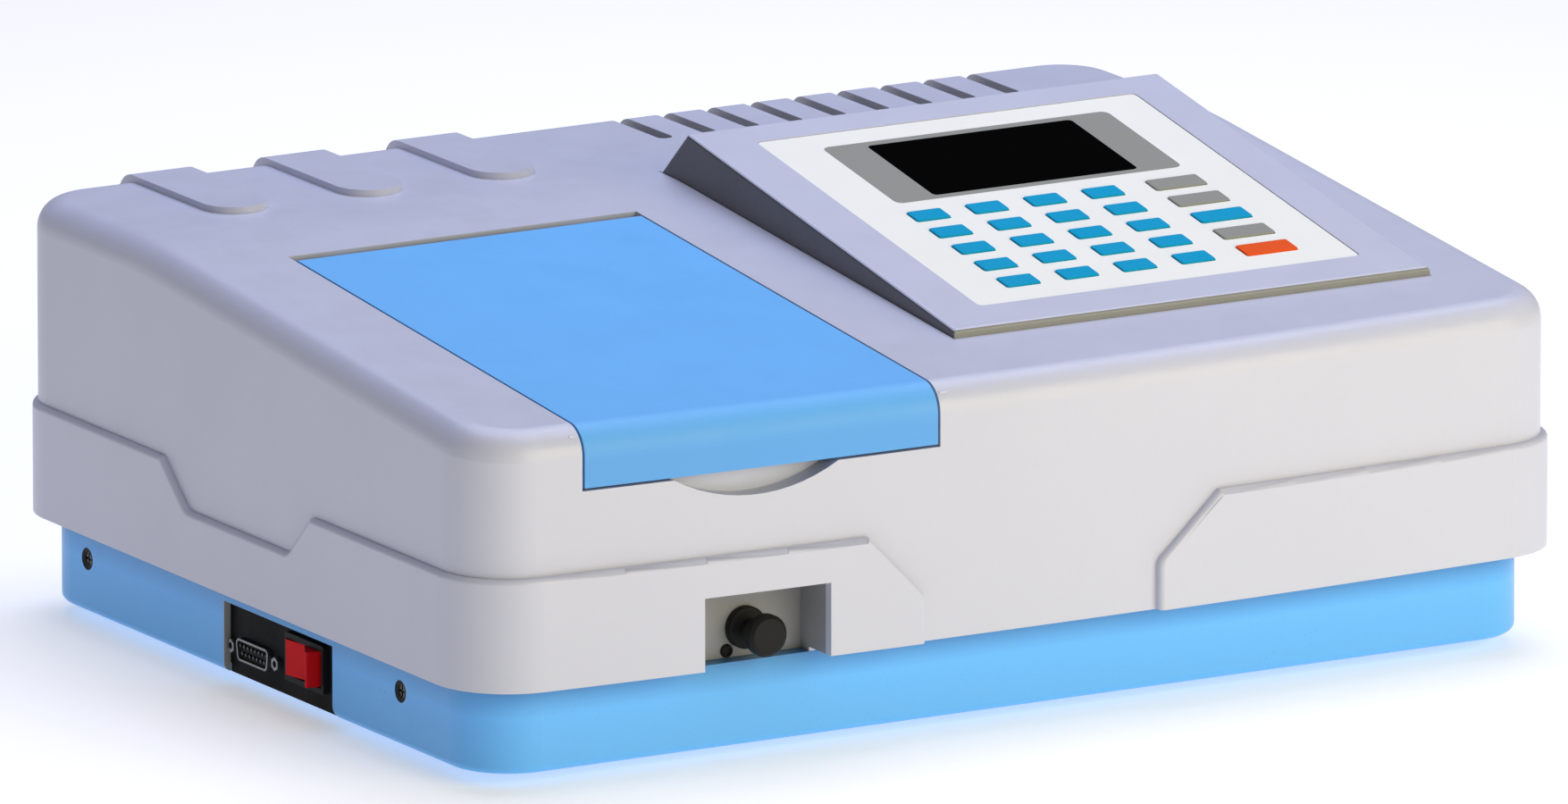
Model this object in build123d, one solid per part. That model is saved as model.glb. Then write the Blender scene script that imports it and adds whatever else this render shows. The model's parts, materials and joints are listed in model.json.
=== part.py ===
"""Bench spectrophotometer: a low two-tone case with a sloped top, a hinged sample lid,
a wedge-shaped keypad console and a pull rod for the cell carriage.

Frame: +X to the user's right, +Y to the back, +Z up; origin at the centre of the
footprint, on the bench. All sizes in millimetres.
"""
import os
from math import atan, cos, degrees, tan

from build123d import *

# ---------------------------------------------------------------- driving sizes
SKIRT_W = 470.0          # widest band of the cover
DEPTH = 364.0            # front of the bow to the back of the band
PROUD = 2.6              # the band stands this far out from the cover above it
COVER_W = SKIRT_W - 2 * PROUD
BACK_Y = DEPTH / 2
FRONT_Y = -DEPTH / 2
BOW = 7.6                # how far the middle of the front bulges
SKIN = 3.0               # cover wall

FOOT_H = 5.0
BASE_W = 451.6
BASE_FRONT_Y = -164.2
BASE_BACK_Y = 172.6
BASE_WALL = 2.7
BASE_CORNER = 24.6
SKIRT_Z0 = 38.8          # lower edge of the cover
BASE_TOP_Z = 52.0        # the tray's walls reach up inside the cover
SKIRT_Z1 = 81.3          # upper edge of the raised band
SKIRT_LOW_Z = 64.4       # its upper edge where it steps down at the sides

FLAT_Z = 158.2           # flat top at the back
SLOPE = 0.0947           # rise of the sloped top, front to back
SLOPE_Z0 = 150.65        # height of the slope at Y = 0
EDGE_R = 11.0            # rounding of the top edges

LID_X0, LID_X1 = -189.0, -40.5
LID_BACK_Y = 46.2
LID_FRONT_Z = 112.4      # lower edge of the lid's front flap
LID_GAP = 1.0
LID_BACK_GAP = 5.5
LID_T = 2.6
HINGE_Y, HINGE_Z = 38.4, 147.6
HINGE_XS = (-165.0, -64.5)

CON_X0, CON_X1 = -6.5, 198.2
CON_FRONT_Y, CON_FRONT_Z = -130.3, 141.4
CON_BACK_Y, CON_BACK_Z = 67.2, 176.5
CON_FOOT_Y = 86.8        # where the console's back slope meets the cover
CON_SKIN = 3.0
RECESS = 1.1             # sunk area that holds the white overlay

TILT = atan((CON_BACK_Z - CON_FRONT_Z) / (CON_BACK_Y - CON_FRONT_Y))
CON_WINDOW = (6.0, 186.0, -115.0, 58.0)      # X and Y limits of the hole under it
OVERLAY = (21.5, 185.3, 18.5, 185.5)         # white sheet, measured on the face
WINDOW = (60.0, 148.5, 119.3, 170.0)         # display window, likewise
OVERLAY_BACK = -0.3                          # the sheet's face lies this far down
CAVITY_DEPTH = 8.0                           # holes through the console's skin

KEY_W, KEY_H = 14.4, 8.8
WIDE_W, WIDE_H = 21.9, 9.4
KEY_PITCH_X, KEY_PITCH_Y = 25.1, 16.7
KEY_FIRST_X, KEY_FIRST_Y = 48.0, 102.4
WIDE_X = 155.0
KEY_TOP, KEY_BOTTOM = 0.4, -4.4
KEY_ROWS, KEY_COLUMNS = 5, 4
KEY_PLAY = 0.4           # between a key and the console around it

FAN_X, FAN_Z, FAN_SIZE = 118.0, 92.0, 60.0
FAN_Y1 = 173.0
FAN_DEPTH = 15.0
FAN_HUB_R, FAN_TIP_R, FAN_SHAFT_R = 12.0, 27.0, 1.5
FAN_BLADES = 7

SCREW_YS = (-102.9, 134.6)
SCREW_Z = 25.8
SCREW_HOLE_R = 2.2
SCREW_SINK_R = 4.25      # recess in the tray's wall around a screw head

ROD_X, ROD_Z = -112.3, 48.2
ROD_R = 3.0
ROD_FRONT_Y = -171.0
COLLAR_R = 8.0
POCKET_X0, POCKET_X1 = -140.8, -88.4
POCKET_Z0, POCKET_Z1 = 37.0, 66.5
POCKET_Y = -158.2
POCKET_SCREW_X, POCKET_SCREW_Z, POCKET_SCREW_R = -119.8, 39.9, 2.1
LEDGE_Y = -154.0         # back of the ledge under the lid's front flap

CH_X0, CH_X1 = LID_X0 + 2.0, LID_X1 - 2.0
CH_Y0, CH_Y1 = LEDGE_Y, HINGE_Y - 7.2
CH_Z0, CH_WALL, CH_BACK_WALL = 34.0, 2.5, 2.0
CELL_PITCH = 18.0
CELL_N = 4
CELL_SIZE = 12.6
CARRIAGE_Z0 = CH_Z0 + CH_WALL + 0.4
BEAM_Y, BEAM_Z = -61.0, 70.0

PANEL_Y0, PANEL_Y1, PANEL_Z1 = -52.0, 29.7, 32.0
PANEL_CUT_R = 5.0        # round at the front lower corner of the cut
PANEL_X = -BASE_W / 2 + BASE_WALL
PANEL_T = 2.0
DSUB_Y, DSUB_Z = 10.4, 15.3
DSUB_PIN_PITCH = 2.76
JACK_HALF = 16.65        # half the distance between the jack nuts
JACK_STEM_R = 1.8
ROCK_Y, ROCK_Z = -29.2, 20.6
ROCK_R = 12.6
ROCK_H = 13.4
ROCK_TILT = 10.0
PIVOT_R = 1.5
INLET_X, INLET_Z = -165.0, 22.4
INLET_W, INLET_H = 27.4, 20.2

BENCH_Z0, BENCH_Z1 = 24.0, 30.0
BENCH = (-34.0, 214.0, -142.0, 150.0)
MONO = (-30.0, 152.0, -132.0, 50.0, 112.0)
MONO_WALL = 3.0
TABLE_X, TABLE_Y = 52.0, -38.0
ARM = 57.0
SCREW_X, SCREW_AXIS_Z, SCREW_R = 118.0, 46.0, 3.0
NUT_Y = TABLE_Y
LAMP = (62.0, 168.0, 62.0, 142.0, 118.0)
LAMP_WALL = 2.0
MIRROR_X, MIRROR_Y = 100.0, 84.0
SHAFT_GAP = 0.05
SUPPLY = (-214.0, -98.0, 58.0, 140.0)
SUPPLY_TOP, SUPPLY_WALL = 60.0, 1.6
BOARD = (-182.0, -48.0, -120.0, 8.0)
BOARD_Z, BOARD_T = 14.0, 1.6


def save(name, shape):
    """Write one sub-part to its own STEP file."""
    export_step(shape, f"parts/{name}.step")


# ---------------------------------------------------------------- small helpers
def block(x0, x1, y0, y1, z0, z1):
    """Box between two opposite corners."""
    size = (x1 - x0, y1 - y0, z1 - z0)
    middle = ((x0 + x1) / 2, (y0 + y1) / 2, (z0 + z1) / 2)
    return Pos(*middle) * Box(*size)


def rod(axis, start, length, radius):
    """Cylinder along 'X', 'Y' or 'Z' from a start point; the length may be negative."""
    turn = {"X": Rot(0, 90, 0), "Y": Rot(-90, 0, 0), "Z": Rot(0, 0, 0)}[axis]
    step = {"X": (length / 2, 0, 0), "Y": (0, length / 2, 0), "Z": (0, 0, length / 2)}[axis]
    place = Pos(*(s + d for s, d in zip(start, step)))
    return place * turn * Cylinder(radius, abs(length))


def side_profile(points, x0, x1, radii=()):
    """Extrude an outline of (Y, Z) points between two X planes.

    radii lists (point, radius) pairs for corners that are rounded."""
    face = make_face(Polyline(*points, close=True))
    for point, radius in radii:
        corner = face.vertices().sort_by_distance(Vector(*point))[0]
        face = fillet(corner, radius)
    plane = Plane(origin=(x0, 0, 0), x_dir=(0, 1, 0), z_dir=(1, 0, 0))
    return extrude(plane * face, x1 - x0)


def front_profile(points, y0, y1, radii=()):
    """Extrude an outline of (X, Z) points between two Y planes."""
    face = make_face(Polyline(*points, close=True))
    for point, radius in radii:
        corner = face.vertices().sort_by_distance(Vector(*point))[0]
        face = fillet(corner, radius)
    plane = Plane(origin=(0, y1, 0), x_dir=(1, 0, 0), z_dir=(0, -1, 0))
    return extrude(plane * face, y1 - y0)


def rounded_block(x0, x1, y0, y1, z0, z1, radius):
    """Box with its upright edges rounded."""
    solid = block(x0, x1, y0, y1, z0, z1)
    return fillet(solid.edges().filter_by(Axis.Z), radius)


def slope_z(y):
    """Height of the cover's top surface at a given Y."""
    return min(FLAT_Z, SLOPE_Z0 + SLOPE * y)


# ---------------------------------------------------------------- case outline
def bowed_plan(width, back_y, front_y, corner_r):
    """Plan outline with round corners and a bulging front."""
    half = width / 2
    side_y = front_y + BOW
    outline = Polyline((-half, side_y), (-half, back_y), (half, back_y), (half, side_y))
    front = ThreePointArc((half, side_y), (0, front_y), (-half, side_y))
    face = make_face(Curve() + [outline, front])
    return fillet(face.vertices(), corner_r)


def cover_solid(grow, bottom=SKIRT_Z0):
    """The cover's closed outer form, grown (or shrunk) by a wall distance."""
    plan = bowed_plan(COVER_W + 2 * grow, BACK_Y - PROUD + grow, FRONT_Y + 3.6 - grow, 26 + grow)
    upright = Pos(0, 0, bottom) * extrude(plan, 200)
    knee_y = (FLAT_Z - SLOPE_Z0) / SLOPE
    front_y, back_y = FRONT_Y - 20, BACK_Y + 20
    knee = (knee_y, FLAT_Z + grow)
    outline = [
        (front_y, 0),
        (front_y, SLOPE_Z0 + SLOPE * front_y + grow),
        knee,
        (back_y, FLAT_Z + grow),
        (back_y, 0),
    ]
    under_top = side_profile(outline, -300, 300, [(knee, 320)])
    return upright & under_top


def top_rim(solid):
    """The edges where the walls meet the top."""
    def on_rim(edge):
        middle = edge.center()
        return edge.bounding_box().min.Z > 120 and (abs(middle.X) > 1 or abs(middle.Y) > 150)
    return solid.edges().filter_by(on_rim)


def side_step(x0, x1):
    """What is cut from the band at the sides, so that its top edge steps down."""
    rise_a, low_a, low_b, rise_b = -51, -34, 43, 62
    top = SKIRT_Z1 + 10
    points = [(rise_a, top), (rise_a, SKIRT_Z1), (low_a, SKIRT_LOW_Z), (low_b, SKIRT_LOW_Z),
              (rise_b, SKIRT_Z1), (rise_b, top)]
    rounds = [((low_a, SKIRT_LOW_Z), 6), ((low_b, SKIRT_LOW_Z), 6)]
    return side_profile(points, x0, x1, rounds)


def band():
    """Raised lower band: full height at the corners, stepped at the sides, open in front."""
    plan = bowed_plan(SKIRT_W, BACK_Y, FRONT_Y, 30)
    solid = Pos(0, 0, SKIRT_Z0) * extrude(plan, SKIRT_Z1 - SKIRT_Z0)
    solid -= side_step(-300, -200) + side_step(200, 300)
    left_foot, left_top, right_foot, right_top = -48.4, -72.0, 51.8, 78.2
    knee_z = 57.3
    gap = [(left_foot, 0), (left_foot, knee_z), (left_top, SKIRT_Z1), (left_top, SKIRT_Z1 + 9),
           (right_top, SKIRT_Z1 + 9), (right_top, SKIRT_Z1), (right_foot, knee_z), (right_foot, 0)]
    rounds = [((left_foot, knee_z), 5), ((right_foot, knee_z), 5)]
    solid -= front_profile(gap, FRONT_Y - 10, FRONT_Y + 30, rounds)

    def outer_lip(edge):
        box = edge.bounding_box()
        middle = edge.center()
        upright = box.max.Z - box.min.Z > 10 and box.size.X < 0.5 and box.size.Y < 0.5
        outside = abs(middle.X) > SKIRT_W / 2 - 9 or middle.Y > BACK_Y - 9 or middle.Y < -173.5
        return outside and box.max.Z > SKIRT_Z0 + 1 and not (upright and abs(middle.X) > 150)
    return fillet(solid.edges().filter_by(outer_lip), 2.0)


def raised_ribs():
    """Three flat ribs that run back over the rear edge of the top."""
    width, first_x, pitch, front_y = 26.0, -172.8, 57.0, 103.8
    grown = cover_solid(PROUD)
    grown = fillet(top_rim(grown), EDGE_R)
    ribs = Part()
    for n in range(3):
        x = first_x + n * pitch
        half = width / 2
        bar = block(x - half, x + half, front_y + half, BACK_Y, 118, FLAT_Z + 20)
        bar += rod("Z", (x, front_y + half, 140), 40, half)
        ribs += bar & grown
    return ribs


def cooling_slots():
    """Nine slots through the rear edge of the top."""
    width, first_x, pitch, front_y = 6.2, 23.7, 18.9, 137.0
    cut = Part()
    for n in range(9):
        x = first_x + n * pitch
        slot = block(x - width / 2, x + width / 2, front_y, BACK_Y + 5, 138, FLAT_Z + 5)
        cut += slot + rod("Z", (x, front_y, 138), 30, width / 2)
    return cut


def rear_grille():
    """Slots in the back wall behind the fan."""
    cut = Part()
    for n in range(8):
        z = FAN_Z + (n - 3.5) * 6.4
        cut += block(FAN_X - 25, FAN_X + 25, BACK_Y - 10, BACK_Y + 5, z - 1.6, z + 1.6)
    return cut


def screw_tabs():
    """Tabs that hang from the cover inside the tray and take the side screws."""
    inner = BASE_W / 2 - BASE_WALL
    tabs = Part()
    for side in (-1, 1):
        for y in SCREW_YS:
            outer = side * (inner - 0.2)
            inside = side * (inner - 4.2)
            wall = side * (COVER_W / 2 - SKIN + 0.5)
            x0, x1 = sorted((outer, inside))
            tabs += block(x0, x1, y - 9, y + 9, 14, 60)
            x0, x1 = sorted((wall, inside))
            tabs += block(x0, x1, y - 9, y + 9, BASE_TOP_Z + 0.2, 60)
            tabs -= rod("X", (inside - side, y, SCREW_Z), side * 8, SCREW_HOLE_R)
    return tabs


def upper_shell():
    outer = cover_solid(0)
    outer = fillet(top_rim(outer), EDGE_R)
    solid = outer + band() + raised_ribs()
    inner = cover_solid(-SKIN)
    inner = chamfer(top_rim(inner), 5)
    inner &= block(-300, 300, -300, 300, SKIRT_Z0 + 5.2, 300)
    solid -= inner
    solid -= tray_plan(0.3, SKIRT_Z0 - 1, SKIRT_Z0 + 6)

    # a ledge and two cheeks close the front of the lid opening
    ledge = cover_solid(-1) & block(LID_X0 - 4, LID_X1 + 4, -200, LEDGE_Y, 96, LID_FRONT_Z - LID_GAP)
    cheek_a = cover_solid(-1) & block(LID_X0 - 4, LID_X0 - 1, -200, LEDGE_Y, 96, 200)
    cheek_b = cover_solid(-1) & block(LID_X1 + 1, LID_X1 + 4, -200, LEDGE_Y, 96, 200)
    cheeks = (cheek_a + cheek_b) & cover_solid(-SKIN + 0.5)
    solid += ledge + cheeks
    opening = block(LID_X0, LID_X1, -200, LID_BACK_Y, LID_FRONT_Z - LID_GAP, 200)
    solid -= opening
    solid -= finger_scoop()

    # pocket for the pull rod; its liner ends with the cover's lower edge in front of the tray
    x0, x1 = POCKET_X0 - SKIN, POCKET_X1 + SKIN
    solid += block(x0, x1, -177, POCKET_Y + SKIN, POCKET_Z0, POCKET_Z1 + SKIN)
    solid -= block(x0 - 1, x1 + 1, BASE_FRONT_Y - 0.3, -100, 30, POCKET_Z0 + 0.2)
    solid -= block(x0 - 1, x1 + 1, -200, BASE_FRONT_Y - 0.3, 30, SKIRT_Z0)
    solid -= block(POCKET_X0, POCKET_X1, -200, POCKET_Y, 30, POCKET_Z1)
    solid -= rod("Y", (ROD_X, POCKET_Y - 1, ROD_Z), 6, ROD_R + 2.0)
    solid -= rod("Y", (POCKET_SCREW_X, POCKET_Y - 1, POCKET_SCREW_Z), 6, POCKET_SCREW_R)

    x0, x1, y0, y1 = CON_WINDOW
    solid -= block(x0, x1, y0, y1, 100, 200)
    solid -= cooling_slots() + rear_grille()
    solid += screw_tabs()
    return solid


def finger_scoop():
    """Shallow crescent under the lid's front edge, for lifting it."""
    centre_x, depth, radius = -117.4, 9.0, 69.0
    front = FRONT_Y + 3.6
    dish = rod("Y", (centre_x, front - 10, LID_FRONT_Z - LID_GAP - depth + radius), 20, radius)
    slice_under = block(-160, -75, front - 10, front + 10, 90, LID_FRONT_Z + 2)
    return dish & slice_under


# ---------------------------------------------------------------- base tray
def tray_plan(grow, z0, z1):
    """The tray's outline as a prism, grown by a distance."""
    half = BASE_W / 2 + grow
    y0, y1 = BASE_FRONT_Y - grow, BASE_BACK_Y + grow
    return rounded_block(-half, half, y0, y1, z0, z1, BASE_CORNER + grow)


def base_tray():
    outer = tray_plan(0, FOOT_H, BASE_TOP_Z)
    bottom = outer.edges().filter_by(lambda e: e.bounding_box().max.Z < FOOT_H + 0.1)
    outer = fillet(bottom, 3.0)
    solid = outer - tray_plan(-BASE_WALL, FOOT_H + 3, BASE_TOP_Z + 5)
    # sunk area for the side connectors, open at the bottom edge
    solid -= block(-240, PANEL_X, PANEL_Y0, PANEL_Y1, 0, PANEL_Z1)
    corner = block(-240, PANEL_X, PANEL_Y0 - PANEL_CUT_R, PANEL_Y0 + 1, 0, FOOT_H + PANEL_CUT_R)
    corner -= rod("X", (-240, PANEL_Y0 - PANEL_CUT_R, FOOT_H + PANEL_CUT_R), 20, PANEL_CUT_R)
    solid -= corner
    solid -= block(-240, PANEL_X + PANEL_T + 0.1, PANEL_Y0 + 0.5, PANEL_Y1 - 0.5, 0, PANEL_Z1 - 1)
    # floor of the pull-rod pocket
    solid -= block(POCKET_X0 - 4, POCKET_X1 + 4, -180, -160, POCKET_Z0, 60)
    solid += block(POCKET_X0 - 4, POCKET_X1 + 4, BASE_FRONT_Y + 1, LEDGE_Y - 2, POCKET_Z0 - 3, POCKET_Z0)
    for side in (-1, 1):
        for y in SCREW_YS:
            solid -= rod("X", (side * (BASE_W / 2 - 5), y, SCREW_Z), side * 10, SCREW_SINK_R)
    solid -= block(INLET_X - INLET_W / 2, INLET_X + INLET_W / 2, BASE_BACK_Y - 8, BASE_BACK_Y + 5,
                   INLET_Z - INLET_H / 2, INLET_Z + INLET_H / 2)
    return solid


def rubber_feet():
    feet = []
    for x in (-185, 185):
        for y in (-125, 132):
            foot = Pos(x, y, FOOT_H / 2) * Cone(9.0, 10.5, FOOT_H)
            feet.append(fillet(foot.edges().sort_by(Axis.Z)[0], 1.0))
    return Compound(children=feet)


def case_screws():
    """Cross-head screws in the tray's side walls."""
    screws = []
    for side in (-1, 1):
        for y in SCREW_YS:
            face_x = side * (BASE_W / 2 - 0.9)
            head = rod("X", (face_x, y, SCREW_Z), -side * 1.6, 3.6)
            shank = rod("X", (face_x, y, SCREW_Z), -side * 10.5, 2.0)
            groove = block(-0.6, 0.6, -2.2, 2.2, -0.5, 0.5) + block(-0.6, 0.6, -0.5, 0.5, -2.2, 2.2)
            screws.append((head + shank) - Pos(face_x, y, SCREW_Z) * groove)
    return Compound(children=screws)


# ---------------------------------------------------------------- sample lid
def lid_form(inset):
    """The lid's outer form: the cover's own top, brought in by a gap."""
    grown = cover_solid(-inset)
    grown = fillet(top_rim(grown), EDGE_R - inset)
    return grown


def sample_lid():
    plate = lid_form(0) - lid_form(LID_T)
    x0, x1 = LID_X0 + LID_GAP, LID_X1 - LID_GAP
    back = LID_BACK_Y - LID_BACK_GAP
    plate &= block(x0, x1, -200, back, LID_FRONT_Z, 200)
    for x in HINGE_XS:
        lug = block(x - 6, x + 6, HINGE_Y - 5, back, HINGE_Z, slope_z(HINGE_Y) - 1)
        lug += rod("X", (x - 6, HINGE_Y, HINGE_Z), 12, 3.4)
        lug &= block(x - 6, x + 6, HINGE_Y - 5, back + 2, 100, slope_z(HINGE_Y - 5) - 1)
        plate += lug
        plate -= rod("X", (x - 7, HINGE_Y, HINGE_Z), 14, 1.55)
    # stiffening ribs under the lid
    for x in (-150, -79):
        rib = block(x - 1, x + 1, -140, 25, 100, 200)
        plate += rib & (lid_form(LID_T - 0.5) - lid_form(LID_T + 3))
    return plate


def lid_hinge_channel():
    """Trough behind the chamber that carries the lid's hinge ears."""
    x0, x1 = LID_X0 - 3, LID_X1 + 3
    y0, y1 = HINGE_Y - 7.0, LID_BACK_Y + 4
    top = slope_z(y0) - SKIN
    outline = [(y0, 138), (y1, 138), (y1, slope_z(y1) - SKIN), (y1 - 2, slope_z(y1 - 2) - SKIN),
               (y1 - 2, 140), (y0 + 1.5, 140), (y0 + 1.5, top - 1), (y0, top - 1)]
    trough = side_profile(outline, x0, x1)
    for x in HINGE_XS:
        for near in (-9.5, 6.5):
            ear = block(x + near, x + near + 3, HINGE_Y - 3, HINGE_Y + 3, 139, HINGE_Z)
            ear += rod("X", (x + near, HINGE_Y, HINGE_Z), 3, 3.0)
            trough += ear
        trough -= rod("X", (x - 12, HINGE_Y, HINGE_Z), 24, 1.5)
    return trough


def lid_hinge_pins():
    return Compound(children=[rod("X", (x - 9.5, HINGE_Y, HINGE_Z), 19, 1.5) for x in HINGE_XS])


# ---------------------------------------------------------------- sample chamber
def sample_chamber():
    """Open-topped black box under the lid, on four legs."""
    top = cover_solid(-SKIN, 0)
    x0, x1, y0, y1 = CH_X0, CH_X1, CH_Y0, CH_Y1
    solid = block(x0, x1, y0, y1, CH_Z0, 200)
    solid -= block(x0 + CH_WALL, x1 - CH_WALL, y0 + CH_WALL, y1 - CH_BACK_WALL, CH_Z0 + CH_WALL, 220)
    flange = (block(LID_X0 - 3.5, LID_X1 + 3.5, y0 + 0.5, y1, 100, 200)
              - block(x0 + 1, x1 - 1, y0 + 1, y1 - 1, 0, 220))
    solid = (solid & top) + (flange & (top - cover_solid(-SKIN - 2, 0)))
    for x in (x0 + 8, x1 - 8):
        for y in (y0 + 14, y1 - 14):
            solid += rod("Z", (x, y, FOOT_H + 3), CH_Z0 - FOOT_H - 3, 5)
    for x in (x0, x1):
        solid -= rod("X", (x - 5, BEAM_Y, BEAM_Z), 10, 5.0)
    solid -= rod("Y", (ROD_X, y0 - 1, ROD_Z), CH_WALL + 2, ROD_R + 2.0)
    for side in (-1, 1):
        rail_x = ROD_X + side * 22.4
        solid += block(rail_x - 2, rail_x + 2, y0 + 6, y1 - 6, CH_Z0 + CH_WALL - 0.5, CARRIAGE_Z0 + 3)
    return solid


def cell_carriage():
    """Sliding block with square wells for four cells, each with beam windows."""
    first = BEAM_Y
    last = BEAM_Y + (CELL_N - 1) * CELL_PITCH
    plate = block(ROD_X - 20, ROD_X + 20, first - 12, last + 12, CARRIAGE_Z0, CARRIAGE_Z0 + 7)
    body = rounded_block(ROD_X - 15, ROD_X + 15, first - 11, last + 11, CARRIAGE_Z0 + 6, 86, 3)
    solid = plate + body
    half = CELL_SIZE / 2
    for n in range(CELL_N):
        y = first + n * CELL_PITCH
        solid -= block(ROD_X - half, ROD_X + half, y - half, y + half, 52.5, 90)
        solid -= block(ROD_X - 20, ROD_X + 20, y - 4, y + 4, 61, 79)
        solid -= block(ROD_X - 20, ROD_X + 20, y - 1.2, y + 1.2, 78, 90)
    solid -= rod("Y", (ROD_X, first - 13, ROD_Z), 13, ROD_R)
    return solid


def pull_rod():
    return rod("Y", (ROD_X, ROD_FRONT_Y, ROD_Z), BEAM_Y - ROD_FRONT_Y, ROD_R)


def pull_knob():
    """Mushroom knob, turned about the rod's axis."""
    front = -177.2
    outline = [(0, 0), (6.6, 0), (8.0, 1.4), (8.0, 4.6), (5.6, 7.2), (4.4, 9.4), (4.4, 13.0), (0, 13.0)]
    face = make_face(Polyline(*outline, close=True))
    turned = revolve(face, Axis.Y)
    knob = Pos(ROD_X, front, ROD_Z) * turned
    knob = fillet(knob.edges().filter_by(lambda e: e.center().Y < front + 5), 0.6)
    return knob - rod("Y", (ROD_X, ROD_FRONT_Y, ROD_Z), 10, ROD_R)


def rod_collar():
    """Flanged guide bush in the pocket's back wall."""
    ring = rod("Y", (ROD_X, POCKET_Y - 3.4, ROD_Z), 3.4, COLLAR_R)
    ring = fillet(ring.edges().filter_by(lambda e: e.center().Y < POCKET_Y - 3), 1.0)
    ring += rod("Y", (ROD_X, POCKET_Y, ROD_Z), LEDGE_Y + CH_WALL - POCKET_Y, ROD_R + 1.95)
    return ring - rod("Y", (ROD_X, POCKET_Y - 5, ROD_Z), 20, ROD_R + 0.05)


# ---------------------------------------------------------------- console
def on_console(shape):
    """Place a shape that was made flat: X from the console's left edge, Y up its face."""
    return Pos(CON_X0, CON_FRONT_Y, CON_FRONT_Z) * Rot(degrees(TILT), 0, 0) * shape


def key_places():
    """Names, centres and sizes of the keys on the console's face."""
    for row in range(KEY_ROWS):
        y = KEY_FIRST_Y - row * KEY_PITCH_Y
        for column in range(KEY_COLUMNS):
            x = KEY_FIRST_X + column * KEY_PITCH_X
            yield f"key_r{row + 1}_c{column + 1}", x, y, KEY_W, KEY_H
        yield f"key_r{row + 1}_c{KEY_COLUMNS + 1}", WIDE_X, y, WIDE_W, WIDE_H


def key_hole(x, y, w, h, play, bottom):
    """Prism around a key, for the holes in the console and in the sheet."""
    half_w, half_h = w / 2 + play, h / 2 + play
    return rounded_block(x - half_w, x + half_w, y - half_h, y + half_h, bottom, 3, 1.2)


def console_housing():
    under = CON_FRONT_Z - 20
    skin = CON_SKIN / cos(TILT)
    front_in, back_in, foot_in = CON_FRONT_Y + 4, CON_BACK_Y - 1, CON_FOOT_Y - 5
    outline = [(CON_FRONT_Y, under), (CON_FRONT_Y, CON_FRONT_Z), (CON_BACK_Y, CON_BACK_Z),
               (CON_FOOT_Y, slope_z(CON_FOOT_Y)), (CON_FOOT_Y, under)]
    wedge = side_profile(outline, CON_X0, CON_X1)
    rim = wedge.edges().filter_by(lambda e: e.center().Z > CON_FRONT_Z - 1)
    wedge = fillet(rim, 1.6)
    hollow = [(front_in, under), (front_in, CON_FRONT_Z + 4 * tan(TILT) - skin),
              (back_in, CON_BACK_Z - tan(TILT) - skin), (foot_in, FLAT_Z - 1), (foot_in, under)]
    wedge -= side_profile(hollow, CON_X0 + CON_SKIN, CON_X1 - CON_SKIN)
    wedge -= cover_solid(0)
    x0, x1, y0, y1 = OVERLAY
    recess = rounded_block(x0 - 0.3, x1 + 0.3, y0 - 0.3, y1 + 0.3, -RECESS, 3, 2.3)
    wedge -= on_console(recess)
    x0, x1, y0, y1 = WINDOW
    wedge -= on_console(block(x0 + 2.5, x1 - 2.5, y0 + 2.5, y1 - 2.5, -CAVITY_DEPTH, 3))
    for _, x, y, w, h in key_places():
        wedge -= on_console(key_hole(x, y, w, h, KEY_PLAY, -CAVITY_DEPTH))
    return wedge


def keypad_overlay():
    """Thin white sheet stuck in the console's sunk face."""
    x0, x1, y0, y1 = OVERLAY
    sheet = rounded_block(x0, x1, y0, y1, -RECESS, OVERLAY_BACK, 2.0)
    x0, x1, y0, y1 = WINDOW
    sheet -= rounded_block(x0 - 0.1, x1 + 0.1, y0 - 0.1, y1 + 0.1, -3, 3, 2.1)
    for _, x, y, w, h in key_places():
        sheet -= key_hole(x, y, w, h, KEY_PLAY - 0.1, -3)
    return on_console(sheet)


def display_window():
    x0, x1, y0, y1 = WINDOW
    return on_console(rounded_block(x0, x1, y0, y1, -RECESS, -0.2, 2.0))


def key_cap(x, y, w, h):
    half_w, half_h = w / 2, h / 2
    cap = rounded_block(x - half_w, x + half_w, y - half_h, y + half_h, KEY_BOTTOM, KEY_TOP, 1.0)
    cap = fillet(cap.edges().group_by(Axis.Z)[-1], 0.3)
    rim = block(x - half_w - 1, x + half_w + 1, y - half_h - 1, y + half_h + 1,
                KEY_BOTTOM, KEY_BOTTOM + 0.7)
    return on_console(cap + rim)


def keypad_board():
    """Circuit board behind the keys, with the display module on it."""
    board = block(20, 184, 24, 184, -7.0, -5.4)
    x0, x1, y0, y1 = WINDOW
    board += block(x0 - 4, x1 + 4, y0 - 0.5, y1 + 6, -5.5, -3.6)
    for x in (30, 174):
        for y in (112, 178):
            board += rod("Z", (x, y, -5.5), 5.5 - CON_SKIN - 0.6, 3)
    return on_console(board)


# ---------------------------------------------------------------- side connectors
def side_panel():
    plate = block(PANEL_X, PANEL_X + PANEL_T, PANEL_Y0 - 4, PANEL_Y1 + 4, FOOT_H + 3.2, PANEL_Z1 + 4)
    plate += block(PANEL_X, PANEL_X + PANEL_T, PANEL_Y0 + 0.8, PANEL_Y1 - 0.8, FOOT_H, FOOT_H + 4)
    plate -= block(-240, -200, ROCK_Y - 13.4, ROCK_Y + 13.4, ROCK_Z - 8.1, ROCK_Z + 8.1)
    plate -= connector_outline(0.3, PANEL_X - 1, PANEL_X + PANEL_T + 1)
    for side in (-1, 1):
        plate -= rod("X", (PANEL_X - 1, DSUB_Y + side * JACK_HALF, DSUB_Z), PANEL_T + 2, JACK_STEM_R + 0.2)
    return plate


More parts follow.
